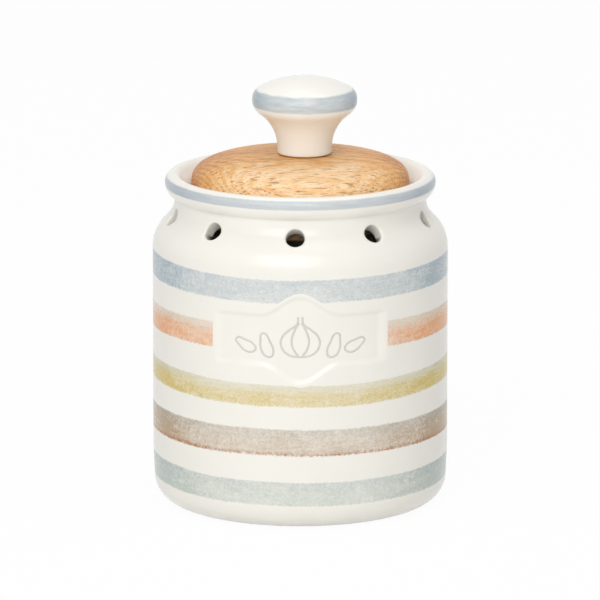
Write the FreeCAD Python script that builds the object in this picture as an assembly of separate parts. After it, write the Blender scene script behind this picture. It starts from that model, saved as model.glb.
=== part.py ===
import FreeCAD, Part
import math
import os

# Garlic keeper: a vented stoneware jar with a flared lip and a turned wooden lid,
# which carries a glazed knob, a fixing screw and a soft ring that grips the throat.
# Millimetres, +Z up. The origin is the middle of the jar's base, the front faces -Y.

# Lid: the wooden disc, and the jar's room round it
lid_radius = 42.0
lid_surround = 6.65
plug_inset = 4.6
plug_surround = 1.8

# Jar, outside
body_radius = 57.0
heel_radius = 10.8
heel_width = 56.5
belly_start = 22.0
shoulder_start = 100.5
shoulder_radius = 14.0
shoulder_slope = 43.0
neck_curve_radius = 9.5
neck_height = 1.3

# Jar, lip: a rolled edge that leans out over the neck and falls inward to a shelf
lip_reach = 3.6
lip_under_radius = 6.4
lip_crest_radius = 3.3
flare_slope = 49.0
shelf_drop = 6.9
shelf_corner_radius = 1.2

# Jar, inside
wall = 4.0
floor_thickness = 5.5
inner_heel_radius = 8.0
inner_slope = 50.0
throat_edge_radius = 0.8

# Jar, base: the glaze stops at a foot ring round a shallow hollow
foot_ring_inner_radius = 38.0
foot_hollow_depth = 1.2

# Vents: holes through the shoulder, cut by hand, so each is a little off its even place
vent_count = 10
vent_radius = 3.6
vent_rise = 32.0
vent_below_neck = 5.3
vent_start_angle = -2.9
vent_lip = 0.7
vent_wander = [0.7, 0.6, 4.1, -1.5, 2.0, -1.0, 1.5, -2.0, -2.7, -2.8]

# Plaque: a field pressed into the front, with an arch on top and the same arch turned over below
plaque_half_angle = 33.5
plaque_depth = 0.9
plaque_middle = 75.0
plaque_side_half_height = 9.4
plaque_peak_half_height = 16.4
plaque_arch_half_width = 15.5
plaque_rim_radius = 0.5

# Lid, one turned disc with a plug below it: its heights and edges
lid_belly_above_seat = 1.9
lid_crown_height = 12.1
lid_crown_power = 3.2
lid_lower_edge_radius = 1.5
plug_depth = 13.0
plug_edge_radius = 1.5

# Soft ring in a groove round the plug
ring_groove_below_seat = 1.3
ring_groove_height = 3.4
ring_groove_depth = 2.2
ring_band = 1.6
ring_fin_count = 2
ring_fin_thickness = 0.8

# Knob: a mushroom on a waisted stem
knob_off_centre = 1.7
knob_radius = 20.25
knob_height = 30.0
knob_crown_radius = 38.0
knob_edge_radius = 4.8
knob_cap_side = 0.6
knob_under_radius = 6.2
knob_under_sweep = 50.0
knob_stem_radius = 10.6
knob_waist_radius = 16.0
knob_foot_edge_radius = 0.8

# Knob fixing: threaded insert, soft washer, screw and steel washer
knob_seat_gap = 0.3
pad_radius = 8.0
pad_thickness = 0.8
insert_radius = 4.0
insert_length = 14.0
insert_collar_radius = 4.8
insert_collar_thickness = 1.0
screw_radius = 2.0
screw_hole_radius = 2.4
screw_grip_in_insert = 11.0
screw_tip_room = 1.5
screw_head_radius = 4.0
screw_head_height = 2.6
screw_recess_width = 0.9
screw_recess_length = 4.4
screw_recess_depth = 1.4
washer_radius = 6.0
washer_thickness = 1.0
counterbore_radius = 6.8
counterbore_depth = 4.8

# Clearances
seat_clearance = 0.3
ring_clearance = 0.25
glue_clearance = 0.05
thread_clearance = 0.05

# How many points the lid's crown outline is drawn through
crown_steps = 12


def polar(radius, degrees):
    angle = math.radians(degrees)
    return radius * math.cos(angle), radius * math.sin(angle)


class Outline:
    """A closed outline in the X-Z half plane, drawn as lines and arcs and then turned about Z."""

    def __init__(self, r, z):
        self.at = FreeCAD.Vector(r, 0, z)
        self.first = self.at
        self.edges = []

    def line(self, r, z):
        end = FreeCAD.Vector(r, 0, z)
        if (end - self.at).Length > 1e-6:
            self.edges.append(Part.LineSegment(self.at, end).toShape())
            self.at = end

    def arc(self, centre_r, centre_z, radius, start, end):
        middle_r, middle_z = polar(radius, (start + end) / 2)
        end_r, end_z = polar(radius, end)
        start_r, start_z = polar(radius, start)
        self.line(centre_r + start_r, centre_z + start_z)
        middle = FreeCAD.Vector(centre_r + middle_r, 0, centre_z + middle_z)
        finish = FreeCAD.Vector(centre_r + end_r, 0, centre_z + end_z)
        self.edges.append(Part.Arc(self.at, middle, finish).toShape())
        self.at = finish

    def curve(self, points):
        curve = Part.BSplineCurve()
        vectors = [FreeCAD.Vector(r, 0, z) for r, z in points]
        curve.interpolate(vectors)
        self.edges.append(curve.toShape())
        self.at = vectors[-1]

    def turned(self):
        self.line(self.first.x, self.first.z)
        face = Part.Face(Part.Wire(self.edges))
        return face.revolve(FreeCAD.Vector(0, 0, 0), FreeCAD.Vector(0, 0, 1), 360)


def cylinder(radius, bottom, top):
    return Part.makeCylinder(radius, top - bottom, FreeCAD.Vector(0, 0, bottom))


def to_knob(shape):
    """Move a shape from the jar's axis to the knob's axis."""
    shape.translate(FreeCAD.Vector(knob_off_centre, 0, 0))
    return shape


# Widths and heights that follow from the sizes above
neck_radius = lid_radius + lid_surround
plug_radius = lid_radius - plug_inset
throat_radius = plug_radius + plug_surround
slope_sin = math.sin(math.radians(shoulder_slope))
slope_cos = math.cos(math.radians(shoulder_slope))
shoulder_run = (
    body_radius - neck_radius - (shoulder_radius + neck_curve_radius) * (1 - slope_cos)
) / slope_sin
neck_level = (
    shoulder_start
    + (shoulder_radius + neck_curve_radius) * slope_sin
    + shoulder_run * slope_cos
)
vent_level = neck_level - vent_below_neck
lip_foot_level = neck_level + neck_height
lip_radius = neck_radius + lip_reach
lip_under_start = -math.degrees(math.acos(1 - lip_reach / lip_under_radius))
lip_widest_level = lip_foot_level - lip_under_radius * math.sin(math.radians(lip_under_start))
crest_centre = lip_radius - lip_crest_radius
crest_level = lip_widest_level + lip_crest_radius
shelf_level = crest_level - shelf_drop
seat_level = shelf_level + seat_clearance
lid_belly_level = seat_level + lid_belly_above_seat
lid_top_level = lid_belly_level + lid_crown_height
plug_bottom_level = seat_level - plug_depth
knob_foot_level = lid_top_level + knob_seat_gap
knob_top_level = knob_foot_level + knob_height
insert_bottom_level = lid_top_level + pad_thickness
groove_top_level = seat_level - ring_groove_below_seat
groove_bottom_level = groove_top_level - ring_groove_height


def jar_outside(outline):
    """From the foot up over heel, shoulder, neck and lip to the crest."""
    heel_centre = heel_width - heel_radius
    outline.arc(heel_centre, heel_radius, heel_radius, -90, 0)
    outline.line(body_radius, belly_start)
    outline.arc(body_radius - shoulder_radius, shoulder_start, shoulder_radius, 0, shoulder_slope)
    neck_centre = neck_radius + neck_curve_radius
    outline.arc(neck_centre, neck_level, neck_curve_radius, 180 + shoulder_slope, 180)
    outline.arc(lip_radius - lip_under_radius, lip_widest_level, lip_under_radius, lip_under_start, 0)
    outline.arc(crest_centre, lip_widest_level, lip_crest_radius, 0, 90 + flare_slope)


def make_jar_body():
    outline = Outline(0, foot_hollow_depth)
    outline.line(foot_ring_inner_radius - foot_hollow_depth, foot_hollow_depth)
    outline.line(foot_ring_inner_radius, 0)
    jar_outside(outline)

    # The flare falls inward from the crest to a level shelf, with a soft corner between them
    flare_r, flare_z = outline.at.x, outline.at.z
    run = flare_z - shelf_level
    shelf_outer = flare_r - run / math.tan(math.radians(flare_slope))
    corner = shelf_corner_radius * math.tan(math.radians(flare_slope / 2))
    outline.arc(
        shelf_outer - corner, shelf_level + shelf_corner_radius, shelf_corner_radius,
        -90 + flare_slope, -90,
    )
    outline.arc(
        throat_radius + throat_edge_radius, shelf_level - throat_edge_radius, throat_edge_radius,
        90, 180,
    )

    # Inside, the throat opens out under the shoulder to an even wall
    inner_radius = body_radius - wall
    inner_arc_radius = shoulder_radius - wall
    arc_centre = body_radius - shoulder_radius
    arc_r, arc_z = polar(inner_arc_radius, inner_slope)
    slope_top = (
        shoulder_start + arc_z
        + (arc_centre + arc_r - throat_radius) / math.tan(math.radians(inner_slope))
    )
    outline.line(throat_radius, slope_top)
    outline.arc(arc_centre, shoulder_start, inner_arc_radius, inner_slope, 0)
    outline.arc(
        inner_radius - inner_heel_radius, floor_thickness + inner_heel_radius, inner_heel_radius,
        0, -90,
    )
    outline.line(0, floor_thickness)
    return outline.turned()


def make_vent_cutter():
    """One vent's bore with a dished mouth, lying on -Y and rising outward."""
    neck_curve_reach = math.sqrt(neck_curve_radius ** 2 - vent_below_neck ** 2)
    mouth_radius = neck_radius + neck_curve_radius - neck_curve_reach
    reach = 3 * wall
    inward = -2 * wall
    dish_depth = 2 * vent_lip
    outline = Outline(0, inward)
    outline.line(vent_radius, inward)
    outline.line(vent_radius, -dish_depth / 2)
    outline.line(vent_radius + vent_lip, dish_depth / 4)
    outline.line(vent_radius + vent_lip, reach)
    outline.line(0, reach)
    cutter = outline.turned()
    cutter.rotate(FreeCAD.Vector(0, 0, 0), FreeCAD.Vector(1, 0, 0), 90 - vent_rise)
    cutter.translate(FreeCAD.Vector(0, -mouth_radius, vent_level))
    return cutter


def vent_angles():
    """Angles about +Z from the front, positive towards +X."""
    step = 360.0 / vent_count
    return [
        vent_start_angle + step * i + vent_wander[i % len(vent_wander)]
        for i in range(vent_count)
    ]


def plaque_points(side):
    """Half of the plaque's edge, from the left corner to the right one, above (1) or below (-1)."""
    half_width = body_radius * math.sin(math.radians(plaque_half_angle))
    rise = plaque_peak_half_height - plaque_side_half_height
    shoulder = plaque_arch_half_width
    steps = 8
    points = [(-half_width, plaque_side_half_height)]
    for i in range(steps + 1):
        x = -shoulder + 2 * shoulder * i / steps
        swell = (1 + math.cos(math.pi * x / shoulder)) / 2
        points.append((x, plaque_side_half_height + rise * swell))
    points.append((half_width, plaque_side_half_height))
    return [(x, plaque_middle + side * h) for x, h in points]


def plaque_face():
    upper = plaque_points(1)
    lower = plaque_points(-1)
    front = -(body_radius + wall)

    def at(point):
        return FreeCAD.Vector(point[0], front, point[1])

    def edge(points):
        """A straight side run, the arch as one smooth curve, and the other side run."""
        arch = Part.BSplineCurve()
        level = FreeCAD.Vector(1, 0, 0)
        arch.interpolate([at(p) for p in points[1:-1]], InitialTangent=level, FinalTangent=level)
        return [
            Part.LineSegment(at(points[0]), at(points[1])).toShape(),
            arch.toShape(),
            Part.LineSegment(at(points[-2]), at(points[-1])).toShape(),
        ]

    right = Part.LineSegment(at(upper[-1]), at(lower[-1])).toShape()
    left = Part.LineSegment(at(lower[0]), at(upper[0])).toShape()
    edges = Part.sortEdges(edge(upper) + [right] + edge(lower) + [left])[0]
    return Part.Face(Part.Wire(edges))


def press_plaque(jar):
    """Cut the plaque's shallow field into the front and round its rim."""
    floor_radius = body_radius - plaque_depth
    block = plaque_face().extrude(FreeCAD.Vector(0, body_radius, 0))
    core = cylinder(floor_radius, belly_start, shoulder_start)
    jar = jar.cut(block.cut(core))

    rim = []
    for edge in jar.Edges:
        points = edge.discretize(5)
        on_front = all(p.y < 0 and abs(p.x) < body_radius * 0.9 for p in points)
        on_skin = all(abs(math.hypot(p.x, p.y) - body_radius) < 1e-3 for p in points)
        in_height = all(belly_start + 1 < p.z < shoulder_start - 1 for p in points)
        if on_front and on_skin and in_height:
            rim.append(edge)
    return jar.makeFillet(plaque_rim_radius, rim)


def make_jar():
    jar = press_plaque(make_jar_body())
    cutter = make_vent_cutter()
    for angle in vent_angles():
        hole = cutter.copy()
        hole.rotate(FreeCAD.Vector(0, 0, 0), FreeCAD.Vector(0, 0, 1), angle)
        jar = jar.cut(hole)
    return jar


def crown_points():
    """The lid's top as a rounded square arc from its belly to its middle."""
    points = []
    for i in range(crown_steps + 1):
        angle = math.pi / 2 * i / crown_steps
        r = lid_radius * math.cos(angle) ** (2 / lid_crown_power)
        z = lid_belly_level + lid_crown_height * math.sin(angle) ** (2 / lid_crown_power)
        points.append((max(r, 0.0), z))
    points[-1] = (0.0, lid_top_level)
    return points


def make_lid_disc():
    outline = Outline(0, plug_bottom_level)
    outline.arc(
        plug_radius - plug_edge_radius, plug_bottom_level + plug_edge_radius, plug_edge_radius,
        -90, 0,
    )
    groove_radius = plug_radius - ring_groove_depth
    outline.line(plug_radius, groove_bottom_level)
    outline.line(groove_radius, groove_bottom_level)
    outline.line(groove_radius, groove_top_level)
    outline.line(plug_radius, groove_top_level)
    outline.line(plug_radius, seat_level)
    outline.arc(
        lid_radius - lid_lower_edge_radius, seat_level + lid_lower_edge_radius,
        lid_lower_edge_radius, -90, 0,
    )
    outline.line(lid_radius, lid_belly_level)
    outline.curve(crown_points())
    disc = outline.turned()
    hole = cylinder(screw_hole_radius, plug_bottom_level, lid_top_level + 1)
    counterbore = cylinder(
        counterbore_radius, plug_bottom_level - 1, plug_bottom_level + counterbore_depth
    )
    return disc.cut(to_knob(hole.fuse(counterbore)))


def make_seal_ring():
    """A band in the plug's groove with thin fins that reach for the throat."""
    inner = plug_radius - ring_groove_depth + ring_clearance
    bottom = groove_bottom_level + ring_clearance
    top = groove_top_level - ring_clearance
    band = cylinder(inner + ring_band, bottom, top)
    fin_reach = throat_radius - seat_clearance
    step = (top - bottom - ring_fin_thickness) / max(ring_fin_count - 1, 1)
    for i in range(ring_fin_count):
        level = bottom + step * i
        band = band.fuse(cylinder(fin_reach, level, level + ring_fin_thickness))
    return band.cut(cylinder(inner, bottom - 1, top + 1)).removeSplitter()


def make_knob():
    """Foot, waist, underside of the cap, side, rolled edge and crown."""
    outline = Outline(0, knob_foot_level)
    outline.arc(
        knob_stem_radius - knob_foot_edge_radius, knob_foot_level + knob_foot_edge_radius,
        knob_foot_edge_radius, -90, 0,
    )
    crown_centre = knob_top_level - knob_crown_radius
    edge_r = knob_radius - knob_edge_radius
    edge_z = crown_centre + math.sqrt((knob_crown_radius - knob_edge_radius) ** 2 - edge_r ** 2)
    turn = math.degrees(math.atan2(edge_z - crown_centre, edge_r))
    under_centre_r = knob_radius - knob_under_radius
    under_centre_z = edge_z - knob_cap_side
    under_r, under_z = polar(knob_under_radius, -knob_under_sweep)
    cap_r, cap_z = under_centre_r + under_r, under_centre_z + under_z

    # The waist leaves the stem upright and runs into the cap's underside at one slope
    waist_r, waist_z = polar(knob_waist_radius, 180 - knob_under_sweep)
    waist_centre_r = knob_stem_radius + knob_waist_radius
    flare = (cap_r - waist_centre_r - waist_r) * math.tan(math.radians(90 - knob_under_sweep))
    waist_centre_z = cap_z - waist_z - flare
    outline.arc(waist_centre_r, waist_centre_z, knob_waist_radius, 180, 180 - knob_under_sweep)
    outline.arc(under_centre_r, under_centre_z, knob_under_radius, -knob_under_sweep, 0)
    outline.arc(edge_r, edge_z, knob_edge_radius, 0, turn)
    outline.arc(0, crown_centre, knob_crown_radius, turn, 90)
    knob = outline.turned()

    pad_recess = cylinder(
        pad_radius + glue_clearance, knob_foot_level - 1, insert_bottom_level
    )
    collar = cylinder(
        insert_collar_radius + glue_clearance, knob_foot_level - 1,
        insert_bottom_level + insert_collar_thickness,
    )
    bore = cylinder(
        insert_radius + glue_clearance, knob_foot_level - 1,
        insert_bottom_level + insert_length + glue_clearance,
    )
    return to_knob(knob.cut(pad_recess).cut(collar).cut(bore))


def make_knob_insert():
    """A threaded bush with a collar, closed at its inner end."""
    bottom = insert_bottom_level
    bush = cylinder(insert_radius, bottom, bottom + insert_length)
    bush = bush.fuse(cylinder(insert_collar_radius, bottom, bottom + insert_collar_thickness))
    bore_top = bottom + screw_grip_in_insert + screw_tip_room
    bore = cylinder(screw_radius + thread_clearance, bottom - 1, bore_top)
    return to_knob(bush.cut(bore).removeSplitter())


def make_knob_pad():
    """The soft washer that keeps the glazed foot off the wood."""
    pad = cylinder(pad_radius, lid_top_level, lid_top_level + pad_thickness)
    return to_knob(pad.cut(cylinder(screw_hole_radius, lid_top_level - 1, lid_top_level + 2)))


def washer_level():
    return plug_bottom_level + counterbore_depth - washer_thickness


def make_screw_washer():
    bottom = washer_level()
    top = bottom + washer_thickness
    return to_knob(cylinder(washer_radius, bottom, top).cut(cylinder(screw_hole_radius, bottom, top)))


def make_lid_screw():
    """A pan head screw with a cross recess, driven up from under the plug."""
    head_top = washer_level()
    head_bottom = head_top - screw_head_height
    tip = insert_bottom_level + screw_grip_in_insert
    outline = Outline(0, head_bottom)
    outline.line(screw_head_radius - screw_head_height / 3, head_bottom)
    outline.line(screw_head_radius, head_bottom + screw_head_height / 3)
    outline.line(screw_head_radius, head_top)
    outline.line(screw_radius, head_top)
    outline.line(screw_radius, tip - screw_radius / 3)
    outline.line(screw_radius * 2 / 3, tip)
    outline.line(0, tip)
    screw = outline.turned()
    for length, width in (
        (screw_recess_length, screw_recess_width),
        (screw_recess_width, screw_recess_length),
    ):
        corner = FreeCAD.Vector(-length / 2, -width / 2, head_bottom)
        screw = screw.cut(Part.makeBox(length, width, screw_recess_depth, corner))
    return to_knob(screw)


nodes = {
    "jar": make_jar,
    "lid_disc": make_lid_disc,
    "seal_ring": make_seal_ring,
    "knob": make_knob,
    "knob_insert": make_knob_insert,
    "knob_pad": make_knob_pad,
    "screw_washer": make_screw_washer,
    "lid_screw": make_lid_screw,
}

os.makedirs("parts", exist_ok=True)
for name, make in nodes.items():
    shape = make()
    box = shape.BoundBox
    print(
        name, "solids", len(shape.Solids), "valid", shape.isValid(),
        "volume", round(shape.Volume, 1), "z", round(box.ZMin, 2), round(box.ZMax, 2),
    )
    shape.exportStep("parts/" + name + ".step")
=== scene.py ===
import math

import bpy
import numpy as np
from mathutils import Matrix, Vector


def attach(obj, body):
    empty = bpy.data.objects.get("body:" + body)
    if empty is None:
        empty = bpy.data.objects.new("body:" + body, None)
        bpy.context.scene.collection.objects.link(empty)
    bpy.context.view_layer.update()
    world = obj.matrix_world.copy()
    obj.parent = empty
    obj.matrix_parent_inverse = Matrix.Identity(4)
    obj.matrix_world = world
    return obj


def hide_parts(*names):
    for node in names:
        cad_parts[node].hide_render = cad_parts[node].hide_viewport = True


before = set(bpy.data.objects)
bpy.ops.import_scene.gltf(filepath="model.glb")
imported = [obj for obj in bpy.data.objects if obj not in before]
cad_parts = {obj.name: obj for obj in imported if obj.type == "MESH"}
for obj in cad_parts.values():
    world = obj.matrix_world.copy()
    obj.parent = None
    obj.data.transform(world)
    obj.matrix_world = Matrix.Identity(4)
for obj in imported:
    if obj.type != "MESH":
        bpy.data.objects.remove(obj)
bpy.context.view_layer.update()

# Shapes are in metres and degrees, and finishes reckon in millimetres
MM = 1000

# Closer than this counts as touching
HAIR = 1e-6

# The jar's sizes, as the frame's jar has them
BODY_RADIUS = 0.057
HEEL_RADIUS = 0.0108
HEEL_WIDTH = 0.0565
BELLY_START = 0.022
SHOULDER_START = 0.1005
SHOULDER_RADIUS = 0.014
SHOULDER_SLOPE = 43.0
NECK_RADIUS = 0.04865
NECK_CURVE_RADIUS = 0.0095
NECK_HEIGHT = 0.0013
LIP_REACH = 0.0036
LIP_UNDER_RADIUS = 0.0064
LIP_CREST_RADIUS = 0.0033
FLARE_SLOPE = 49.0
SHELF_DROP = 0.0069
SHELF_CORNER_RADIUS = 0.0012
WALL = 0.004
FLOOR_THICKNESS = 0.0055
INNER_HEEL_RADIUS = 0.008
INNER_SLOPE = 50.0
THROAT_RADIUS = 0.0392
THROAT_EDGE_RADIUS = 0.0008
FOOT_RING_INNER_RADIUS = 0.038
FOOT_HOLLOW_DEPTH = 0.0012

# The rounded edge of the hollow underneath: steps outwards and upwards, as shares of its depth
FOOT_HOLLOW_EDGE = [(-2.0, 1.0), (-1.0, 0.8), (-0.2, 0.15), (0.3, 0.0)]

# The soft corner between neck and lip: steps out from the neck and up from the lip's foot, and
# how many degrees of the lip's underside it takes up
LIP_CORNER = [(0.00002, -0.0005), (0.00022, 0.0001)]
LIP_CORNER_TURN = 6

# How far apart the points of the jar's outline are
CURVE_STEP = 0.0005
ROUND_STEP = 0.0009
HIGH_SIDE_STEP = 0.0015
LOW_SIDE_STEP = 0.003
LEDGE_STEP = 0.0012
INNER_HEEL_STEP = 0.002
INNER_SIDE_STEP = 0.012

# Sections round the jar: close over the plaque and a few degrees more, wider behind
FRONT_SECTIONS = 193
FRONT_MARGIN = 5
REST_SECTIONS = 174

# Vents through the shoulder, evenly spaced apart from how far each one wanders, in degrees
VENT_RADIUS = 0.0036
VENT_RISE = 32.0
VENT_LEVEL = 0.1134
VENT_START_ANGLE = -2.9
VENT_LIP = 0.0007
VENT_WANDER = [0.7, 0.6, 4.1, -1.5, 2.0, -1.0, 1.5, -2.0, -2.7, -2.8]

# Plaque pressed into the front
PLAQUE_HALF_ANGLE = 33.5
PLAQUE_DEPTH = 0.0009
PLAQUE_MIDDLE = 0.075
PLAQUE_SIDE_HALF_HEIGHT = 0.0094
PLAQUE_PEAK_HALF_HEIGHT = 0.0164
PLAQUE_ARCH_HALF_WIDTH = 0.0155
PLAQUE_SLOPE_WIDTH = 0.0020
PLAQUE_END_SLOPE_WIDTH = 0.0040
PLAQUE_BARE_MARGIN = 0.0019

# Painted bands, from the top down: name, top and bottom level, how far top and bottom rise
# towards the sides, how thick the wash is in front, colour of its upper and of its lower part
BANDS = [
    ("blue", 0.0985, 0.0897, 0.0020, 0.0009, 0.46, (164, 181, 193), (166, 183, 192)),
    ("orange", 0.0805, 0.0705, -0.0003, 0.0, 0.54, (216, 184, 148), (234, 164, 104)),
    ("yellow", 0.0573, 0.0490, 0.0026, 0.0022, 0.62, (202, 194, 146), (214, 190, 104)),
    ("brown", 0.0401, 0.0299, 0.0007, 0.0004, 0.50, (174, 160, 138), (184, 156, 122)),
    ("grey_green", 0.0193, 0.0100, 0.0018, 0.0015, 0.54, (180, 191, 188), (188, 199, 190)),
]
RUST = (178, 120, 70)

# How the bands and edges deepen from the front to the sides, partly a thicker wash and partly
# painted side shade with a painted paler front where the sheen falls: how far it goes, and by how
# much on the bands and on the edges of lip and knob
SIDE_WASH_AND_SHADE_LIMIT = 0.3
BAND_WASH_AND_SHADE = 1.6
EDGE_WASH_AND_SHADE = 1.1

# The blue-grey edges of lip and knob: the levels they lie between, how far out the lip's fades
# in, and how thick their wash is in front
LIP_BAND = (0.1247, 0.1279)
LIP_BAND_RADIUS = (0.0502, 0.0509)
LIP_WASH = 0.64
KNOB_BAND = (0.1556, 0.1618)
KNOB_RADIUS = 0.02025
KNOB_WASH = 0.6

# The drawing on the plaque, as shares of its own height: half of a bulb from its neck down to
# its root, the line between two cloves, and a clove from its tip round
BULB_SIDE = [(0.05, 0.50), (0.07, 0.34), (0.24, 0.20), (0.42, 0.02), (0.44, -0.20), (0.28, -0.39)]
BULB_ROOT = [(0.08, -0.44)]
CLOVE_LINE = [(0.03, 0.36), (0.14, 0.16), (0.20, -0.08), (0.15, -0.28), (0.05, -0.42)]
CLOVE_EDGE = [
    (0.0, 0.5), (0.20, 0.22), (0.28, -0.08), (0.20, -0.38), (-0.02, -0.48), (-0.16, -0.3),
    (-0.17, 0.05),
]
BULB_HEIGHT = 0.0165
BULB_ABOVE_MIDDLE = 0.0008
LINE_HALF_WIDTH = 0.0004
LINE_FLATTENING = 0.25

# The loose cloves on either side: how far from the middle, how long, and their lean in radians
LOOSE_CLOVES = [(0.0128, 0.0098, -0.35), (0.0212, 0.0088, -1.15)]
CLOVES_BELOW_MIDDLE = 0.0022

# Studio: lamps by name, place, size and watts; what they aim at; how bright floor and world are
LAMPS = [
    ("front_soft_box", (-0.4, -2.0, 1.3), (1.9, 1.3), 30),
    ("top_soft_box", (0.1, 0.15, 2.1), (1.8, 1.6), 14),
]
LAMP_AIM = (0, 0, 0.08)
WHITE = (1.0, 1.0, 1.0, 1.0)
WORLD_STRENGTH = 0.37
FLOOR_COLOUR = (0.92, 0.92, 0.92, 1.0)
FLOOR_WHITE = 0.96
FLOOR_REACH = 9.0
FLOOR_LEVEL = -0.0002

# Camera: a long lens, a little above the jar's middle
CAMERA_DISTANCE = 3.4
CAMERA_RISE = 12.2
CAMERA_AIM = (-0.0001, 0, 0.0786)
SENSOR_WIDTH = 36
PIXELS_PER_METRE = 2584
PICTURE_PIXELS = 600


def paint(red, green, blue):
    """A colour as a painter reads it off a chart, from 0 to 255, made linear."""
    channels = [c / 255 for c in (red, green, blue)]
    linear = [c / 12.92 if c <= 0.04045 else ((c + 0.055) / 1.055) ** 2.4 for c in channels]
    return (*linear, 1.0)


class Wire:
    """A value that runs between nodes. Sums on it add Math nodes."""

    def __init__(self, nodes, socket):
        self.nodes = nodes
        self.socket = socket

    def twin(self, output):
        """Another output of the node that this one comes from."""
        return Wire(self.nodes, self.socket.node.outputs[output])

    def reckon(self, operation, first, second=0.0):
        return self.nodes.add("ShaderNodeMath", {"operation": operation}, {0: first, 1: second})

    def swing(self, width):
        """A noise from 0 to 1, made to swing to either side of nothing over this width."""
        return (self - 0.5) * width

    def sine(self):
        return self.reckon("SINE", self)

    def cosine(self):
        return self.reckon("COSINE", self)

    def root(self):
        return self.reckon("SQRT", self)

    def smaller(self, other):
        return self.reckon("MINIMUM", self, other)

    def larger(self, other):
        return self.reckon("MAXIMUM", self, other)

    def __add__(self, other):
        return self.reckon("ADD", self, other)

    __radd__ = __add__

    def __sub__(self, other):
        return self.reckon("SUBTRACT", self, other)

    def __rsub__(self, other):
        return self.reckon("SUBTRACT", other, self)

    def __mul__(self, other):
        return self.reckon("MULTIPLY", self, other)

    __rmul__ = __mul__

    def __truediv__(self, other):
        return self.reckon("DIVIDE", self, other)

    def __rtruediv__(self, other):
        return self.reckon("DIVIDE", other, self)

    def __pow__(self, other):
        return self.reckon("POWER", self, other)

    def __abs__(self):
        return self.reckon("ABSOLUTE", self)

    def __gt__(self, other):
        return self.reckon("GREATER_THAN", self, other)


class Nodes:
    """The nodes of one tree, and the ways to add to them."""

    def __init__(self, tree):
        self.tree = tree
        tree.nodes.clear()

    def feed(self, socket, value):
        if isinstance(value, Wire):
            self.tree.links.new(value.socket, socket)
        else:
            socket.default_value = value

    def add(self, kind, settings=None, values=None, output=0):
        """Any node: its settings first, then the values or links of its sockets.

        Gives the wire of one output, if the node has outputs.
        """
        node = self.tree.nodes.new(kind)
        for name, value in (settings or {}).items():
            if name == "stops":
                ramp = node.color_ramp
                while len(ramp.elements) < len(value):
                    ramp.elements.new(0.5)
                for element, (place, colour) in zip(ramp.elements, value):
                    element.position = place
                    element.color = colour
            else:
                setattr(node, name, value)
        for key, value in (values or {}).items():
            self.feed(node.inputs[key], value)
        if node.outputs:
            return Wire(self, node.outputs[output])

    def clamp(self, value):
        return self.add("ShaderNodeClamp", None, {0: value})

    def straight_rays(self):
        """1 for rays that come from the camera, a mirror or a clear body, 0 for the rest."""
        seen = self.add("ShaderNodeLightPath", output="Is Camera Ray")
        return self.clamp(seen + seen.twin("Is Glossy Ray") + seen.twin("Is Transmission Ray"))


class Finish(Nodes):
    """A surface finish built from nodes round one Principled shader."""

    def __init__(self, name, **constants):
        self.material = bpy.data.materials.new(name)
        self.material.use_nodes = True
        super().__init__(self.material.node_tree)
        self.surface = self.add("ShaderNodeBsdfPrincipled")
        self.shown = self.tree.nodes.new("ShaderNodeOutputMaterial").inputs["Surface"]
        self.feed(self.shown, self.surface)
        inputs = self.surface.socket.node.inputs
        self.sockets = {socket.name.lower().replace(" ", "_"): socket for socket in inputs}
        self.set(**constants)

    def set(self, **values):
        for name, value in values.items():
            self.feed(self.sockets[name], value)

    def place(self):
        """Object coordinates in metres."""
        return self.add("ShaderNodeTexCoord", output="Object")

    def axes(self, point):
        """The point's x, y and z in millimetres."""
        x = self.add("ShaderNodeSeparateXYZ", None, {0: point})
        return [x * MM, x.twin("Y") * MM, x.twin("Z") * MM]

    def stretch(self, point, x=1.0, y=1.0, z=1.0):
        return self.add(
            "ShaderNodeVectorMath", {"operation": "MULTIPLY"}, {0: point, 1: (x, y, z)}
        )

    def noise(self, point, scale, detail=2.0, rough=0.5):
        return self.add(
            "ShaderNodeTexNoise", None,
            {"Vector": point, "Scale": scale, "Detail": detail, "Roughness": rough},
        )

    def step(self, value, low, high):
        """A soft step from 0 at low to 1 at high."""
        return self.add(
            "ShaderNodeMapRange", {"interpolation_type": "SMOOTHSTEP"},
            {"Value": value, "From Min": low, "From Max": high},
        )

    def tint(self, factor, first, second):
        """The first colour where factor is 0, the second where it is 1."""
        return self.add(
            "ShaderNodeMix", {"data_type": "RGBA"}, {0: factor, 6: first, 7: second}, 2
        )

    def bump(self, height, strength, distance):
        relief = self.add(
            "ShaderNodeBump", None, {"Strength": strength, "Distance": distance, "Height": height}
        )
        self.set(normal=relief)


def new_piece(name, mesh, body, slot, finish, *replaced):
    """An object for a finished mesh, riding on its body."""
    piece = bpy.data.objects.new(name, mesh)
    bpy.context.scene.collection.objects.link(piece)
    mesh.materials.clear()
    mesh.materials.append(finish)
    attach(piece, body)
    if replaced:
        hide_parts(*replaced)
    return piece


def polar(radius, degrees):
    return radius * math.cos(math.radians(degrees)), radius * math.sin(math.radians(degrees))


def arc_points(centre, radius, start, end, spacing):
    """Points along an arc, about one spacing apart."""
    length = abs(math.radians(end - start)) * radius
    steps = max(4, round(length / spacing))
    points = []
    for i in range(steps + 1):
        r, z = polar(radius, start + (end - start) * i / steps)
        points.append((centre[0] + r, centre[1] + z))
    return points


def run_points(start, end, spacing):
    """Points strictly between the two ends of a straight run."""
    length = math.dist(start, end)
    steps = max(1, round(length / spacing))
    return [
        (start[0] + (end[0] - start[0]) * i / steps, start[1] + (end[1] - start[1]) * i / steps)
        for i in range(1, steps)
    ]


def neck_level():
    """Where the shoulder's slope has curved round into the upright neck."""
    slope = math.radians(SHOULDER_SLOPE)
    curves = SHOULDER_RADIUS + NECK_CURVE_RADIUS
    run = (BODY_RADIUS - NECK_RADIUS - curves * (1 - math.cos(slope))) / math.sin(slope)
    return SHOULDER_START + curves * math.sin(slope) + run * math.cos(slope)


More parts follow.
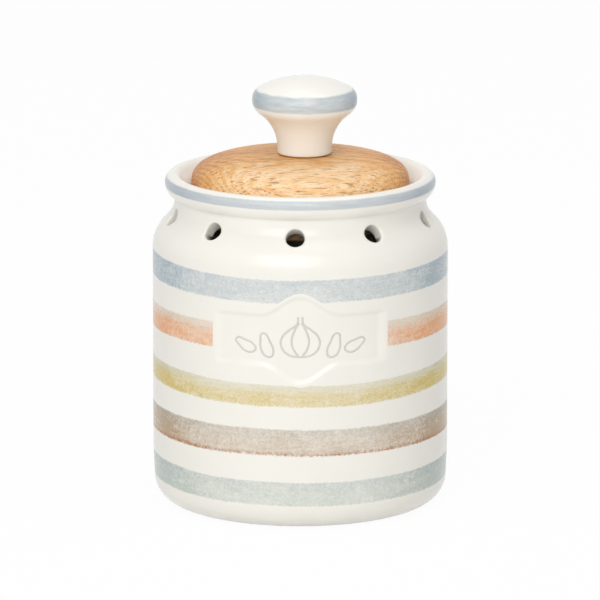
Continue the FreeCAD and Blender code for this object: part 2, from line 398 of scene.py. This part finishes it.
def foot_and_side():
    """The outline from the middle of the base, round the heel, to the foot of the shoulder."""
    foot = [(0.0, FOOT_HOLLOW_DEPTH)]
    for outwards, upwards in FOOT_HOLLOW_EDGE:
        radius = FOOT_RING_INNER_RADIUS + FOOT_HOLLOW_DEPTH * outwards
        foot.append((radius, FOOT_HOLLOW_DEPTH * upwards))
    heel = arc_points((HEEL_WIDTH - HEEL_RADIUS, HEEL_RADIUS), HEEL_RADIUS, -90, 0, ROUND_STEP)
    belly = (BODY_RADIUS, BELLY_START)
    shoulder_foot = (BODY_RADIUS, SHOULDER_START)
    plaque_low = (BODY_RADIUS, PLAQUE_MIDDLE - PLAQUE_PEAK_HALF_HEIGHT - PLAQUE_SLOPE_WIDTH)
    plaque_high = (BODY_RADIUS, PLAQUE_MIDDLE + PLAQUE_PEAK_HALF_HEIGHT + PLAQUE_SLOPE_WIDTH)
    side = [belly]
    side += run_points(belly, plaque_low, LOW_SIDE_STEP) + [plaque_low]
    side += run_points(plaque_low, plaque_high, CURVE_STEP) + [plaque_high]
    side += run_points(plaque_high, shoulder_foot, HIGH_SIDE_STEP)
    return foot + heel + side


def shoulder_to_throat():
    """The outline on over the shoulder, the neck and the lip, and down the flare to the throat."""
    lip_foot = neck_level() + NECK_HEIGHT
    lip_radius = NECK_RADIUS + LIP_REACH
    lip_start = -math.degrees(math.acos(1 - LIP_REACH / LIP_UNDER_RADIUS))
    lip_widest = lip_foot - LIP_UNDER_RADIUS * math.sin(math.radians(lip_start))
    shelf = lip_widest + LIP_CREST_RADIUS - SHELF_DROP
    shoulder_centre = (BODY_RADIUS - SHOULDER_RADIUS, SHOULDER_START)
    shoulder = arc_points(shoulder_centre, SHOULDER_RADIUS, 0, SHOULDER_SLOPE, ROUND_STEP)
    neck_centre = (NECK_RADIUS + NECK_CURVE_RADIUS, neck_level())
    neck = arc_points(neck_centre, NECK_CURVE_RADIUS, 180 + SHOULDER_SLOPE, 180, CURVE_STEP)
    slope = run_points(shoulder[-1], neck[0], ROUND_STEP)
    corner = [(NECK_RADIUS + out, lip_foot + up) for out, up in LIP_CORNER]
    lip_centre = (lip_radius - LIP_UNDER_RADIUS, lip_widest)
    under_start = lip_start + LIP_CORNER_TURN
    lip_under = arc_points(lip_centre, LIP_UNDER_RADIUS, under_start, 0, CURVE_STEP)
    crest_centre = (lip_radius - LIP_CREST_RADIUS, lip_widest)
    crest = arc_points(crest_centre, LIP_CREST_RADIUS, 0, 90 + FLARE_SLOPE, CURVE_STEP)
    flare_end = crest[-1]
    shelf_outer = flare_end[0] - (flare_end[1] - shelf) / math.tan(math.radians(FLARE_SLOPE))
    corner_reach = SHELF_CORNER_RADIUS * math.tan(math.radians(FLARE_SLOPE / 2))
    shelf_centre = (shelf_outer - corner_reach, shelf + SHELF_CORNER_RADIUS)
    shelf_corner = arc_points(
        shelf_centre, SHELF_CORNER_RADIUS, -90 + FLARE_SLOPE, -90, CURVE_STEP
    )
    flare = run_points(flare_end, shelf_corner[0], ROUND_STEP)
    throat_centre = (THROAT_RADIUS + THROAT_EDGE_RADIUS, shelf - THROAT_EDGE_RADIUS)
    throat = arc_points(throat_centre, THROAT_EDGE_RADIUS, 90, 180, CURVE_STEP)
    outside = shoulder + slope + neck + corner + lip_under + crest[1:]
    return outside + flare + shelf_corner + throat


def inside():
    """The outline on down the inside of the jar to the middle of its floor."""
    inner_arc = SHOULDER_RADIUS - WALL
    arc_centre = (BODY_RADIUS - SHOULDER_RADIUS, SHOULDER_START)
    arc_r, arc_z = polar(inner_arc, INNER_SLOPE)
    reach = arc_centre[0] + arc_r - THROAT_RADIUS
    slope_top = SHOULDER_START + arc_z + reach / math.tan(math.radians(INNER_SLOPE))
    inner_shoulder = arc_points(arc_centre, inner_arc, INNER_SLOPE, 0, HIGH_SIDE_STEP)
    ledge = [(THROAT_RADIUS, slope_top)]
    ledge += run_points(ledge[0], inner_shoulder[0], LEDGE_STEP)
    heel_centre = (BODY_RADIUS - WALL - INNER_HEEL_RADIUS, FLOOR_THICKNESS + INNER_HEEL_RADIUS)
    inner_heel = arc_points(heel_centre, INNER_HEEL_RADIUS, 0, -90, INNER_HEEL_STEP)
    inner_side = run_points(inner_shoulder[-1], inner_heel[0], INNER_SIDE_STEP)
    return ledge + inner_shoulder + inner_side + inner_heel + [(0.0, FLOOR_THICKNESS)]


def turning_angles():
    """Angles round the jar in radians, from one side of the plaque and on round."""
    front = PLAQUE_HALF_ANGLE + FRONT_MARGIN
    fine = np.linspace(-front, front, FRONT_SECTIONS)
    rest = np.linspace(front, 360 - front, REST_SECTIONS)[1:-1]
    return np.radians(np.concatenate([fine, rest]))


def soft_step(distance, width):
    """0 well outside, 1 well inside, and a smooth slope this wide between them."""
    share = np.clip(distance / width + 0.5, 0, 1)
    return share * share * (3 - 2 * share)


def plaque_press(x, z):
    """How deep the plaque is pressed in, from 0 outside to 1 on its field."""
    swell = (1 + np.cos(np.pi * np.clip(x / PLAQUE_ARCH_HALF_WIDTH, -1, 1))) / 2
    rise = PLAQUE_PEAK_HALF_HEIGHT - PLAQUE_SIDE_HALF_HEIGHT
    half_height = PLAQUE_SIDE_HALF_HEIGHT + rise * swell
    half_width = BODY_RADIUS * math.sin(math.radians(PLAQUE_HALF_ANGLE))
    in_height = soft_step(half_height - np.abs(z - PLAQUE_MIDDLE), PLAQUE_SLOPE_WIDTH)
    return in_height * soft_step(half_width - np.abs(x), PLAQUE_END_SLOPE_WIDTH)


def turned_mesh(name, outline, angles, press=None):
    """A closed skin made by turning a half section that starts and ends on the axis."""
    rings = outline[1:-1]
    sections = len(angles)
    sines = np.sin(angles)
    cosines = np.cos(angles)
    vertices = [(0.0, 0.0, outline[0][1])]
    for r, z in rings:
        radius = np.full(sections, r)
        if press is not None and abs(r - BODY_RADIUS) < HAIR:
            front = cosines > 0
            radius = radius - PLAQUE_DEPTH * press(r * sines, np.full(sections, z)) * front
        vertices.extend(zip(radius * sines, -radius * cosines, np.full(sections, z)))
    vertices.append((0.0, 0.0, outline[-1][1]))
    faces = []
    for i in range(len(rings) - 1):
        low = 1 + i * sections
        high = low + sections
        for j in range(sections):
            k = (j + 1) % sections
            faces.append((low + j, low + k, high + k, high + j))
    last = 1 + (len(rings) - 1) * sections
    top = len(vertices) - 1
    for j in range(sections):
        k = (j + 1) % sections
        faces.append((0, 1 + k, 1 + j))
        faces.append((top, last + j, last + k))
    mesh = bpy.data.meshes.new(name)
    mesh.from_pydata([tuple(map(float, v)) for v in vertices], [], faces)
    return mesh


def shoulder_radius_at(level):
    """The outside radius at a level between the straight side and the neck."""
    slope = math.radians(SHOULDER_SLOPE)
    rounding_top = SHOULDER_START + SHOULDER_RADIUS * math.sin(slope)
    below_neck = max(0.0, neck_level() - level)
    if level < rounding_top:
        rise = max(0.0, level - SHOULDER_START)
        return BODY_RADIUS - SHOULDER_RADIUS + math.sqrt(SHOULDER_RADIUS ** 2 - rise ** 2)
    if below_neck > NECK_CURVE_RADIUS * math.sin(slope):
        rounding_end = BODY_RADIUS - SHOULDER_RADIUS * (1 - math.cos(slope))
        return rounding_end - (level - rounding_top) * math.tan(slope)
    return NECK_RADIUS + NECK_CURVE_RADIUS - math.sqrt(NECK_CURVE_RADIUS ** 2 - below_neck ** 2)


def vent_frame():
    """Places the spool's own axes in the shoulder: Z out of the vent, Y up the slope."""
    tilt = Matrix.Rotation(math.radians(90 - VENT_RISE), 4, "X")
    return Matrix.Translation((0, -shoulder_radius_at(VENT_LEVEL), VENT_LEVEL)) @ tilt


def mouth_rise(angle, frame_in_shoulder):
    """How far the shoulder stands above the mouth's flat plane at an angle round the vent."""
    radius = VENT_RADIUS + VENT_LIP
    low, high = -0.003, 0.004
    halvings = 24
    for _ in range(halvings):
        middle = (low + high) / 2
        spot = Vector((radius * math.sin(angle), -radius * math.cos(angle), middle))
        spot = frame_in_shoulder @ spot
        if math.hypot(spot.x, spot.y) > shoulder_radius_at(spot.z):
            high = middle
        else:
            low = middle
    return low


def vent_cutter_mesh():
    """A spool along the vent: its bore, with mouths that roll out into both faces."""
    inner_end = -0.009
    outer_end = 0.005
    flange_width = 0.0004
    flange_rise = 0.0005
    hair_below = 0.00002
    roll_steps = 8
    sections = 48

    mouth_radius = VENT_RADIUS + VENT_LIP
    flange = mouth_radius + flange_width
    outer_face = -hair_below - VENT_LIP
    roll = []
    for i in range(roll_steps + 1):
        angle = math.radians(90 * i / roll_steps)
        roll.append((VENT_RADIUS + VENT_LIP * (1 - math.cos(angle)), VENT_LIP * math.sin(angle)))
    outline = [(0.0, inner_end), (mouth_radius, inner_end)]
    outline += [(r, outer_face - WALL - z) for r, z in reversed(roll)]
    outline += [(r, outer_face + z) for r, z in roll]
    outline += [(flange, outer_face + VENT_LIP + flange_rise), (flange, outer_end)]
    outline.append((0.0, outer_end))
    angles = np.radians(np.linspace(0, 360, sections + 1)[:-1])
    mesh = turned_mesh("vent_cutter", outline, angles)

    # The outer mouth follows the shoulder's curve round the vent
    frame_in_shoulder = vent_frame()
    rises = [mouth_rise(angle, frame_in_shoulder) for angle in angles]
    for i, vertex in enumerate(mesh.vertices):
        on_axis = math.hypot(vertex.co.x, vertex.co.y) < HAIR
        if vertex.co.z > -WALL / 2 and not on_axis:
            vertex.co.z += rises[(i - 1) % sections]
    mesh.transform(frame_in_shoulder)
    return mesh


def vent_ring_tree():
    """Copies of the cutter round the jar, each turned by the angle that its point carries."""
    tree = bpy.data.node_groups.new("vent_ring", "GeometryNodeTree")
    for name, kind in (("Geometry", "Geometry"), ("Cutter", "Object"), ("Material", "Material")):
        tree.interface.new_socket(name, in_out="INPUT", socket_type="NodeSocket" + kind)
    tree.interface.new_socket("Geometry", in_out="OUTPUT", socket_type="NodeSocketGeometry")
    ring = Nodes(tree)
    places = ring.add("NodeGroupInput", output="Geometry")
    turn = ring.add(
        "GeometryNodeInputNamedAttribute", {"data_type": "FLOAT"}, {"Name": "turn"}, "Attribute"
    )
    about_z = ring.add("ShaderNodeCombineXYZ", None, {"Z": turn})
    rotation = ring.add("FunctionNodeEulerToRotation", None, {0: about_z})
    cutter = ring.add("GeometryNodeObjectInfo", None, {"Object": places.twin("Cutter")}, "Geometry")
    copies = ring.add(
        "GeometryNodeInstanceOnPoints", None,
        {"Points": places, "Instance": cutter, "Rotation": rotation},
    )
    real = ring.add("GeometryNodeRealizeInstances", None, {0: copies})
    dressed = ring.add(
        "GeometryNodeSetMaterial", None, {"Geometry": real, "Material": places.twin("Material")}
    )
    ring.add("NodeGroupOutput", None, {0: dressed})
    return tree


def plain_mesh(carrier, name):
    """The carrier's evaluated shape as a mesh of its own; the carrier goes."""
    seen = carrier.evaluated_get(bpy.context.evaluated_depsgraph_get())
    mesh = bpy.data.meshes.new_from_object(seen)
    mesh.name = name
    bpy.data.objects.remove(carrier)
    return mesh


def make_vent_cutters(finish):
    """All the vents' cutters as one mesh."""
    points = bpy.data.meshes.new("vent_places")
    points.from_pydata([(0, 0, 0)] * len(VENT_WANDER), [], [])
    turn = points.attributes.new("turn", "FLOAT", "POINT")
    step = 360 / len(VENT_WANDER)
    for i, wander in enumerate(VENT_WANDER):
        turn.data[i].value = math.radians(VENT_START_ANGLE + step * i + wander)
    cutter = bpy.data.objects.new("vent_cutter", vent_cutter_mesh())
    carrier = bpy.data.objects.new("vent_places", points)
    for thing in (cutter, carrier):
        bpy.context.scene.collection.objects.link(thing)
    tree = vent_ring_tree()
    ring = carrier.modifiers.new("vent_ring", "NODES")
    ring.node_group = tree
    inputs = [item for item in tree.interface.items_tree if item.in_out == "INPUT"]
    identifiers = {item.name: item.identifier for item in inputs}
    ring[identifiers["Cutter"]] = cutter
    ring[identifiers["Material"]] = finish
    mesh = plain_mesh(carrier, "vent_cutters")
    bpy.data.objects.remove(cutter)
    return mesh


def make_jar(finish):
    """Turned body with its pressed plaque, and the vents cut through the shoulder."""
    outline = foot_and_side() + shoulder_to_throat() + inside()
    body = turned_mesh("jar_glazed", outline, turning_angles(), plaque_press)
    body.materials.append(finish)
    jar = bpy.data.objects.new("jar_body", body)
    cutters = bpy.data.objects.new("vent_cutters", make_vent_cutters(finish))
    for thing in (jar, cutters):
        bpy.context.scene.collection.objects.link(thing)
    cut = jar.modifiers.new("vents", "BOOLEAN")
    cut.operation = "DIFFERENCE"
    cut.solver = "EXACT"
    cut.object = cutters
    mesh = plain_mesh(jar, "jar_glazed")
    bpy.data.objects.remove(cutters)
    mesh.shade_smooth()
    return new_piece("jar_glazed", mesh, "jar", "glazed_stoneware", finish, "jar")


def glaze_relief(finish, point, strength=0.35):
    """Slow hand-made unevenness under the glaze and its faint orange peel."""
    slow = finish.noise(point, scale=45.0)
    fine = finish.noise(point, scale=900.0, detail=1.0)
    finish.bump(slow * 0.8 + fine * 0.02, strength, distance=0.0004)


def towards_side(glaze, y, radius):
    """From 0 in the middle of the front to 1 at the sides and behind."""
    return glaze.clamp(1.0 + y / (radius * MM))


def wash_and_painted_shade_at(side):
    """How much deeper the colour lies towards the side, up to its limit: partly a thicker wash,
    partly painted side shade.
    """
    return (side * side).smaller(SIDE_WASH_AND_SHADE_LIMIT)


def off_plaque(glaze, x, z):
    """How many millimetres a spot lies outside the plaque and its bare margin."""
    swell_x = glaze.clamp(abs(x) / (PLAQUE_ARCH_HALF_WIDTH * MM))
    swell = (1.0 + (swell_x * math.pi).cosine()) * 0.5
    rise = (PLAQUE_PEAK_HALF_HEIGHT - PLAQUE_SIDE_HALF_HEIGHT) * MM
    margin = PLAQUE_BARE_MARGIN * MM
    half_height = swell * rise + (PLAQUE_SIDE_HALF_HEIGHT * MM + margin)
    half_width = BODY_RADIUS * MM * math.sin(math.radians(PLAQUE_HALF_ANGLE)) + margin
    out_z = abs(z - PLAQUE_MIDDLE * MM) - half_height
    return out_z.larger(abs(x) - half_width)


def painted_glaze():
    """Cream glaze with the five washed bands, the lip's edge and the bare foot."""
    glaze = Finish("cream_glaze_with_bands", ior=1.5, specular_ior_level=0.4)
    point = glaze.place()
    x, y, z = glaze.axes(point)
    side = towards_side(glaze, y, BODY_RADIUS)
    # Deeper colour towards the sides and back: partly a thicker wash, partly painted side shade
    sideways_wash_and_shade = wash_and_painted_shade_at(side)

    # Thin glaze is a little whiter, thick glaze a little warmer
    mottle = glaze.noise(point, scale=60.0, detail=3.0)
    colour = glaze.tint(mottle, paint(247, 244, 236), paint(241, 238, 229))

    # The brush wanders up and down, and its bristles leave streaks, clots and grain
    wander = glaze.noise(point, scale=22.0, detail=1.0).swing(2.2)
    ripple = glaze.noise(point, scale=160.0).swing(0.9)
    feather = glaze.noise(point, scale=1100.0, rough=0.7).swing(1.9)
    streaks = glaze.noise(glaze.stretch(point, z=7.0), scale=110.0, detail=3.0, rough=0.6)
    grain = glaze.noise(glaze.stretch(point, z=1.4), scale=1150.0, rough=0.75)
    clots = glaze.noise(point, scale=520.0, rough=0.6)
    pools = glaze.noise(glaze.stretch(point, z=2.0), scale=60.0)
    level = z + wander * 0.5 + ripple * 0.5 + feather * 0.5 + grain.swing(1.1)
    flow = streaks.swing(0.8) + pools.swing(0.7) + clots.swing(0.9)
    unevenness = 1.0 + flow + grain.swing(1.7)

    # Paint lies on the outer wall only, and none on the plaque or on a narrow margin round it
    radius_squared = x * x + y * y
    within_wall = BODY_RADIUS * MM - 2.8
    near_surface = BODY_RADIUS * MM - 2.2
    outer_wall = glaze.step(radius_squared, within_wall ** 2, near_surface ** 2)
    behind = y > 0.0
    clear_of_plaque = glaze.step(off_plaque(glaze, x, z), -0.2, 0.25)
    painted = glaze.clamp(clear_of_plaque + behind) * outer_wall

    # Each band fades over a soft edge, and its lower colour gives way to its upper one
    soft_edge = 0.35
    lower_colour_ends = 0.42
    upper_colour_starts = 0.95
    thinning_upwards = 0.35
    rust_height = 0.2
    rust_thickening = 0.4
    for name, top, bottom, rise_top, rise_bottom, front_wash, upper_shade, lower_shade in BANDS:
        high = side * (rise_top * MM) + top * MM
        low = side * (rise_bottom * MM) + bottom * MM
        below_top = glaze.step(high - level, -soft_edge, soft_edge)
        above_bottom = glaze.step(level - low, -soft_edge, soft_edge)
        height = glaze.clamp((level - low) / (high - low))
        # Deeper towards the sides: partly a thicker wash, partly painted side shade, and a painted
        # paler front where the sheen falls
        wash = (front_wash + sideways_wash_and_shade * BAND_WASH_AND_SHADE) * unevenness
        upward = glaze.step(height + clots.swing(0.9), lower_colour_ends, upper_colour_starts)
        shade = glaze.tint(upward, paint(*lower_shade), paint(*upper_shade))

        # Orange and yellow thin out upwards, and brown gathers rust along its lower edge
        if name in ("orange", "yellow"):
            wash = wash * (1.0 - upward * thinning_upwards)
        if name == "brown":
            specks = glaze.clamp(grain * 3.0 - 0.7)
            rust = glaze.step(height, rust_height, 0.03) * specks
            shade = glaze.tint(rust, shade, paint(*RUST))
            wash = wash * (1.0 + rust * rust_thickening)
        amount = wash.smaller(1.0) * below_top * above_bottom * painted
        colour = glaze.tint(amount, colour, shade)

    # A blue-grey edge on the outside of the lip
    inner, outer = [radius * MM for radius in LIP_BAND_RADIUS]
    low, high = [lip_level * MM for lip_level in LIP_BAND]
    brushed = z + ripple * 0.3 + feather * 0.2
    on_lip = glaze.step(radius_squared, inner ** 2, outer ** 2)
    lip = glaze.step(brushed, low - 0.4, low + 0.2) * glaze.step(brushed, high + 0.4, high - 0.3)
    # The lip's edge deepens towards the sides the same way: partly thicker wash, partly painted side
    # shade
    lip_wash = LIP_WASH + sideways_wash_and_shade * EDGE_WASH_AND_SHADE + streaks.swing(0.5)
    colour = glaze.tint(lip * on_lip * lip_wash, colour, paint(176, 187, 196))

    # The foot is bare fired clay
    glazed_above = 0.9
    bare_below = 0.5
    bare = glaze.step(z, glazed_above, bare_below)
    clay = glaze.tint(grain, paint(222, 210, 190), paint(205, 190, 168))
    colour = glaze.tint(bare, colour, clay)
    glaze.set(base_color=colour, roughness=0.2 + bare * 0.5 + mottle * 0.06)
    glaze_relief(glaze, point)
    return glaze.material


def knob_glaze():
    """Cream glaze with a blue-grey wash round the cap's edge."""
    glaze = Finish("knob_glaze", ior=1.5, specular_ior_level=0.4)
    point = glaze.place()
    _, y, z = glaze.axes(point)
    streaks = glaze.noise(glaze.stretch(point, z=8.0), scale=160.0, detail=3.0, rough=0.6)
    mottle = glaze.noise(point, scale=90.0, detail=3.0)
    cream = glaze.tint(mottle, paint(250, 248, 242), paint(245, 242, 233))

    soft_edge = 0.5
    low, high = [level * MM for level in KNOB_BAND]
    brushed = z + glaze.noise(point, scale=160.0).swing(0.8)
    above_bottom = glaze.step(brushed, low - soft_edge, low + soft_edge)
    below_top = glaze.step(brushed, high + soft_edge, high - soft_edge)
    side = towards_side(glaze, y, KNOB_RADIUS)
    sideways_wash_and_shade = wash_and_painted_shade_at(side)
    # Deeper towards the sides: partly a thicker wash, partly painted side shade, and a painted paler
    # front where the sheen falls
    wash = KNOB_WASH + sideways_wash_and_shade * EDGE_WASH_AND_SHADE + streaks.swing(0.7)
    colour = glaze.tint(above_bottom * below_top * wash, cream, paint(166, 180, 190))
    glaze.set(base_color=colour, roughness=0.18 + mottle * 0.06)
    glaze_relief(glaze, point, strength=0.25)
    return glaze.material


def beech():
    """Pale beech with slow growth rings, long fibres and short dark flecks along the grain."""
    wood = Finish("oiled_beech", ior=1.5, specular_ior_level=0.5)
    point = wood.place()
    x, y, z = wood.axes(point)

    # The rings lie round the heart of the log, a bent line that runs along X below the disc
    heart_y = -16.0
    heart_z = 98.0
    ring_pace = 3.9
    late_wood_sharpness = 2.5
    bend = wood.noise(point, scale=22.0).swing(6.0)
    across = y - heart_y + x * 0.05 + bend
    depth = z - heart_z + x * 0.1
    waver = wood.noise(point, scale=160.0).swing(0.8)
    from_heart = (across * across + depth * depth).root() + waver
    ring = ((from_heart * ring_pace).sine() * 0.5 + 0.5) ** late_wood_sharpness

    # Fibres run along X, and the flecks lean a little off them
    fleck_lean = -0.12
    fibre = wood.noise(wood.stretch(point, y=7.0, z=9.0), scale=95.0, detail=4.0, rough=0.7)
    long_streaks = wood.noise(wood.stretch(point, 0.5, 6.0, 7.0), scale=60.0)
    broad = wood.noise(wood.stretch(point, y=2.0, z=2.0), scale=24.0)
    leaning = wood.add(
        "ShaderNodeVectorRotate", {"rotation_type": "Z_AXIS"}, {"Vector": point, "Angle": fleck_lean}
    )
    fleck_field = wood.noise(wood.stretch(leaning, 0.36, 2.4, 5.0), 290.0, detail=1.0, rough=0.4)
    small_field = wood.noise(wood.stretch(leaning, 0.5, 3.0, 6.0), 560.0, detail=1.0, rough=0.4)
    flecks = wood.step(fleck_field, 0.61, 0.69)
    small_flecks = wood.step(small_field, 0.58, 0.68)
    marks = wood.clamp(flecks * 0.5 + small_flecks * 0.42)

    # The disc darkens towards its back as painted shade, with a painted paler front where the sheen
    # falls, and it deepens towards its end grain
    front_sheen_and_back_shade = wood.step(y, -34.0, 6.0)
    end_grain = wood.step(abs(x), 16.0, 42.0)
    figure = ring * 0.17 + fibre * 0.9 + long_streaks * 0.45 + broad * 0.5
    tone = wood.clamp(figure + front_sheen_and_back_shade * 0.46 + end_grain * 0.26 - 0.9)
    shades = [
        (0.0, paint(250, 216, 172)),
        (0.4, paint(234, 179, 108)),
        (1.0, paint(176, 98, 38)),
    ]
    colour = wood.add("ShaderNodeValToRGB", {"stops": shades}, {0: tone})
    colour = wood.tint(marks, colour, paint(136, 76, 36))
    wood.set(base_color=colour, roughness=0.4 + fibre * 0.16)
    wood.bump(fibre * 0.5 - marks * 0.8, strength=0.35, distance=0.0002)
    return wood.material


def clouded(name, light, dark, scale, rough, rougher, **constants):
    """One plain colour that clouds over softly into another."""
    finish = Finish(name, **constants)
    cloud = finish.noise(finish.place(), scale)
    finish.set(base_color=finish.tint(cloud, light, dark), roughness=rough + cloud * rougher)
    return finish.material


def turned_metal(name, light, dark, rough):
    """Metal with the faint rings that a lathe leaves."""
    metal = Finish(name, metallic=1.0)
    rings = metal.noise(metal.stretch(metal.place(), 0.2, 0.2, 6.0), scale=700.0)
    metal.set(base_color=metal.tint(rings, light, dark), roughness=rough + rings * 0.18)
    return metal.material


def placed(points, centre, size, turn=0.0, mirror=1):
    """Points of a drawing scaled to its size, turned, and set at its centre."""
    cosine = math.cos(turn)
    sine = math.sin(turn)
    spots = []
    for x, z in points:
        x = x * size * mirror
        z = z * size
        spots.append((centre[0] + x * cosine - z * sine, centre[1] + x * sine + z * cosine))
    return spots


def draw_lines(name, lines, half_width, finish, body, slot):
    """Lines drawn on the plaque's field: low rounded ridges that follow its curve."""
    curve = bpy.data.curves.new(name, "CURVE")
    curve.dimensions = "3D"
    curve.bevel_depth = half_width
    curve.bevel_resolution = 2
    curve.use_fill_caps = True
    curve.resolution_u = 8
    for points, closed in lines:
        spline = curve.splines.new("BEZIER")
        spline.bezier_points.add(len(points) - 1)
        spline.use_cyclic_u = closed
        for place, (x, z) in zip(spline.bezier_points, points):
            place.co = (x, 0, z)
            place.handle_left_type = place.handle_right_type = "AUTO"
    carrier = bpy.data.objects.new(name, curve)
    bpy.context.scene.collection.objects.link(carrier)
    mesh = plain_mesh(carrier, name)

    # Wrap the flat drawing round the field, and flatten its ridges
    field = BODY_RADIUS - PLAQUE_DEPTH
    for vertex in mesh.vertices:
        turn = vertex.co.x / field
        radius = field - vertex.co.y * LINE_FLATTENING
        vertex.co.x = radius * math.sin(turn)
        vertex.co.y = -radius * math.cos(turn)
    mesh.shade_smooth()
    return new_piece(name, mesh, body, slot, finish)


def make_garlic_drawing(slip):
    """A plain drawing of a bulb between loose cloves, in pale grey."""
    bulb = (0.0, PLAQUE_MIDDLE + BULB_ABOVE_MIDDLE)
    right = BULB_SIDE + BULB_ROOT
    left = [(-x, z) for x, z in reversed(right)]
    lines = [(placed(right + left, bulb, BULB_HEIGHT), False)]
    for mirror in (-1, 1):
        lines.append((placed(CLOVE_LINE, bulb, BULB_HEIGHT, 0.0, mirror), False))
        for away, size, lean in LOOSE_CLOVES:
            centre = (mirror * away, PLAQUE_MIDDLE - CLOVES_BELOW_MIDDLE)
            lines.append((placed(CLOVE_EDGE, centre, size, mirror * lean, mirror), True))
    return draw_lines("plaque_drawing", lines, LINE_HALF_WIDTH, slip, "jar", "glazed_stoneware")


def dress(node, finish):
    """Give a CAD piece its finish."""
    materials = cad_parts[node].data.materials
    materials.clear()
    materials.append(finish)


def make_floor():
    """A pale floor that keeps the shadow, and looks nearly white where it is seen."""
    corners = [(-1, -1), (1, -1), (1, 1), (-1, 1)]
    spots = [(x * FLOOR_REACH, y * FLOOR_REACH, FLOOR_LEVEL) for x, y in corners]
    mesh = bpy.data.meshes.new("floor")
    mesh.from_pydata(spots, [], [(0, 1, 2, 3)])
    floor = bpy.data.objects.new("floor", mesh)
    bpy.context.scene.collection.objects.link(floor)
    pale = Finish("pale_floor", base_color=FLOOR_COLOUR, roughness=0.9, specular_ior_level=0.0)
    glow = pale.add("ShaderNodeEmission", None, {"Color": WHITE, "Strength": 1.0})
    share = pale.straight_rays() * FLOOR_WHITE
    mixed = pale.add("ShaderNodeMixShader", None, {0: share, 1: pale.surface, 2: glow})
    pale.feed(pale.shown, mixed)
    mesh.materials.append(pale.material)


def make_world():
    """White where it is seen, and a dimmer light on the jar."""
    world = bpy.data.worlds.new("studio")
    world.use_nodes = True
    bpy.context.scene.world = world
    sky = Nodes(world.node_tree)
    light = sky.add("ShaderNodeBackground", None, {"Color": WHITE, "Strength": WORLD_STRENGTH})
    white = sky.add("ShaderNodeBackground", None, {"Color": WHITE, "Strength": 1.0})
    mixed = sky.add("ShaderNodeMixShader", None, {0: sky.straight_rays(), 1: light, 2: white})
    sky.add("ShaderNodeOutputWorld", None, {0: mixed})


def make_lamps():
    """Two soft boxes, turned towards the jar's middle."""
    for name, place, size, watts in LAMPS:
        lamp = bpy.data.lights.new(name, "AREA")
        lamp.shape = "RECTANGLE"
        lamp.size, lamp.size_y = size
        lamp.energy = watts
        lamp_object = bpy.data.objects.new(name, lamp)
        lamp_object.location = place
        aim = Vector(LAMP_AIM) - Vector(place)
        lamp_object.rotation_euler = aim.to_track_quat("-Z", "Y").to_euler()
        bpy.context.scene.collection.objects.link(lamp_object)


def make_camera():
    camera = bpy.data.cameras.new("camera")
    camera.sensor_width = SENSOR_WIDTH
    camera.lens = SENSOR_WIDTH * PIXELS_PER_METRE * CAMERA_DISTANCE / PICTURE_PIXELS
    camera.clip_end = 100
    camera_object = bpy.data.objects.new("camera", camera)
    run, rise = polar(1.0, CAMERA_RISE)
    back = Vector((0, -run, rise))
    camera_object.location = Vector(CAMERA_AIM) + back * CAMERA_DISTANCE
    camera_object.rotation_euler = (-back).to_track_quat("-Z", "Y").to_euler()
    bpy.context.scene.collection.objects.link(camera_object)
    bpy.context.scene.camera = camera_object


make_jar(painted_glaze())
make_garlic_drawing(clouded(
    "grey_slip", paint(220, 220, 210), paint(204, 205, 196), 500.0, 0.2, 0.1,
    ior=1.5, specular_ior_level=0.4,
))
dress("lid_disc", beech())
dress("knob", knob_glaze())
milky = clouded(
    "milky_silicone", paint(226, 226, 220), paint(212, 212, 205), 200.0, 0.5, 0.15, ior=1.41
)
dress("seal_ring", milky)
dress("knob_pad", milky)
dress("knob_insert", turned_metal("turned_brass", paint(214, 178, 96), paint(188, 148, 70), 0.22))
plated = turned_metal("plated_steel", paint(190, 192, 194), paint(160, 162, 166), 0.25)
dress("screw_washer", plated)
dress("lid_screw", plated)
make_floor()
make_world()
make_lamps()
make_camera()
bpy.context.scene.view_settings.view_transform = "Standard"
